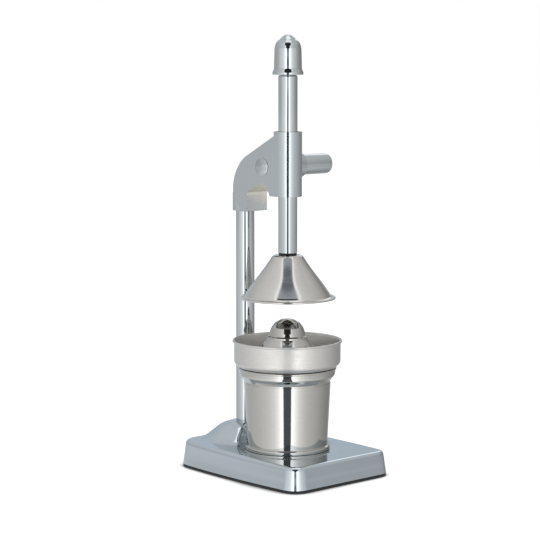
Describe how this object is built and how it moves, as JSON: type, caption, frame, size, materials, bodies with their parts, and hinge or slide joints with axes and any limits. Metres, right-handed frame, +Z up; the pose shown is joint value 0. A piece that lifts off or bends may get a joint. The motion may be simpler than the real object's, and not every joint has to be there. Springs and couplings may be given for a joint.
{
  "type": "lever citrus juice press",
  "caption": "Upright hand press for citrus: a lever turns a pinion that drives a racked plunger with a press cone down onto a strainer set in a juice cup.",
  "frame": {"origin": "on the table, under the axis of the plunger, on the underside of the base pad", "axes": "+Z up; -Y towards the front, where the cup draws out; the column stands at +Y; the lever is on the right, at +X"},
  "size_m": [0.1507, 0.1981, 0.458],
  "materials": {
    "chrome": "polished chrome",
    "cast_chrome": "chromed casting, slightly soft",
    "satin_steel": "spun sheet, fine polish",
    "steel": "plain machined",
    "bronze": "bearing bronze",
    "black_rubber": "matt black",
    "black_plastic": "satin black"
  },
  "bodies": {
    "frame": {"base_shell": "chrome", "base_pad": "black_rubber", "base_pad_screw_1": "steel", "base_pad_screw_2": "steel", "base_pad_screw_3": "steel", "base_pad_screw_4": "steel", "column_post": "chrome", "column_bolt": "steel", "column_washer": "steel", "head_casting": "cast_chrome", "guide_bush_lower": "bronze", "guide_bush_upper": "bronze", "shaft_bush_left": "bronze", "shaft_bush_right": "bronze", "pivot_cap": "cast_chrome", "head_set_screw": "steel"},
    "lever": {"pinion_shaft": "steel", "pinion_gear": "steel", "pinion_key": "steel", "lever_hub": "chrome", "hub_set_screw": "steel", "lever_arm": "chrome", "lever_grip": "black_plastic"},
    "plunger": {"plunger_rod": "chrome", "top_knob": "chrome", "cone_gasket": "black_rubber", "press_cone": "satin_steel", "cone_washer": "steel", "cone_screw": "steel"},
    "cup": {"juice_cup": "satin_steel"},
    "strainer": {"strainer_bowl": "satin_steel", "strainer_cone": "satin_steel"}
  },
  "joints": [
    {"name": "plunger_slide", "type": "slide", "parent": "frame", "child": "plunger", "axis": [0, 0, -1], "range_m": [-0.04, 0.048]},
    {"name": "lever_hinge", "type": "hinge", "parent": "frame", "child": "lever", "pos_m": [0, 0.0239, 0.3212], "axis": [1, 0, 0], "range_deg": [-140, 168]},
    {"name": "cup_slide", "type": "slide", "parent": "frame", "child": "cup", "axis": [0, -1, 0], "range_m": [0, 0.125]},
    {"name": "strainer_lift", "type": "slide", "parent": "cup", "child": "strainer", "axis": [0, 0, 1], "range_m": [0, 0.012]}
  ],
  "couplings": [
    {"joint": "lever_hinge", "follows": "plunger_slide", "rad_per_m": 60.606}
  ]
}
